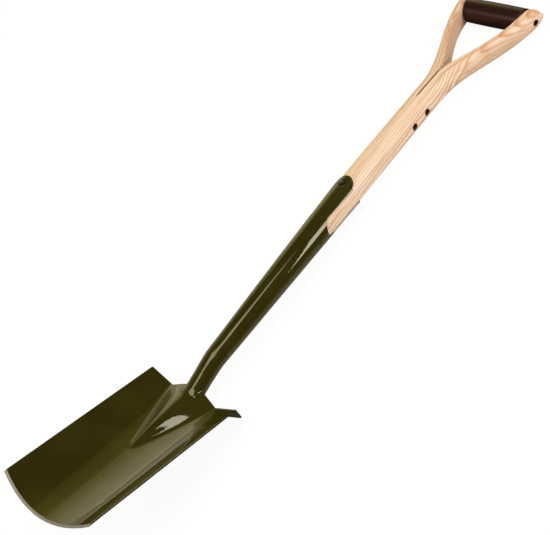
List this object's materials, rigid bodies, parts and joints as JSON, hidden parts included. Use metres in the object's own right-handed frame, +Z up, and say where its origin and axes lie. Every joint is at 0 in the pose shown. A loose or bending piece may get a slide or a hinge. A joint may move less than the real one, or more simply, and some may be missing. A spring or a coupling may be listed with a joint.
{
  "type": "border spade",
  "caption": "Garden border spade: dished steel blade with folded treads, long strapped socket, and a bowed ash shaft that splits into a D-shaped handle with a dark barrel grip.",
  "frame": {"origin": "middle of the spade's box, on the floor it lies on", "axes": "+Z up from the floor, +Y from the blade's cutting edge to the handle, +X across the blade; the spade lies on its back with the blade's hollow side up"},
  "size_m": [0.1484, 0.9656, 0.1159],
  "materials": {
    "olive_paint": "glossy olive green paint on steel",
    "ash_wood": "pale ash, satin varnish",
    "stained_wood": "very dark brown stained wood, soft gloss",
    "rivet_steel": "dark browned steel"
  },
  "bodies": {
    "root": {"blade": "olive_paint", "socket": "olive_paint", "socket_weld": "olive_paint", "strap_rivet": "olive_paint", "socket_rivet": "olive_paint", "ash_shaft": "ash_wood", "grip": "stained_wood", "grip_pin": "rivet_steel", "grip_pin_burr": "rivet_steel", "split_rivet_lower": "rivet_steel", "split_rivet_upper": "rivet_steel", "split_rivet_burr_lower": "rivet_steel", "split_rivet_burr_upper": "rivet_steel"}
  },
  "joints": []
}
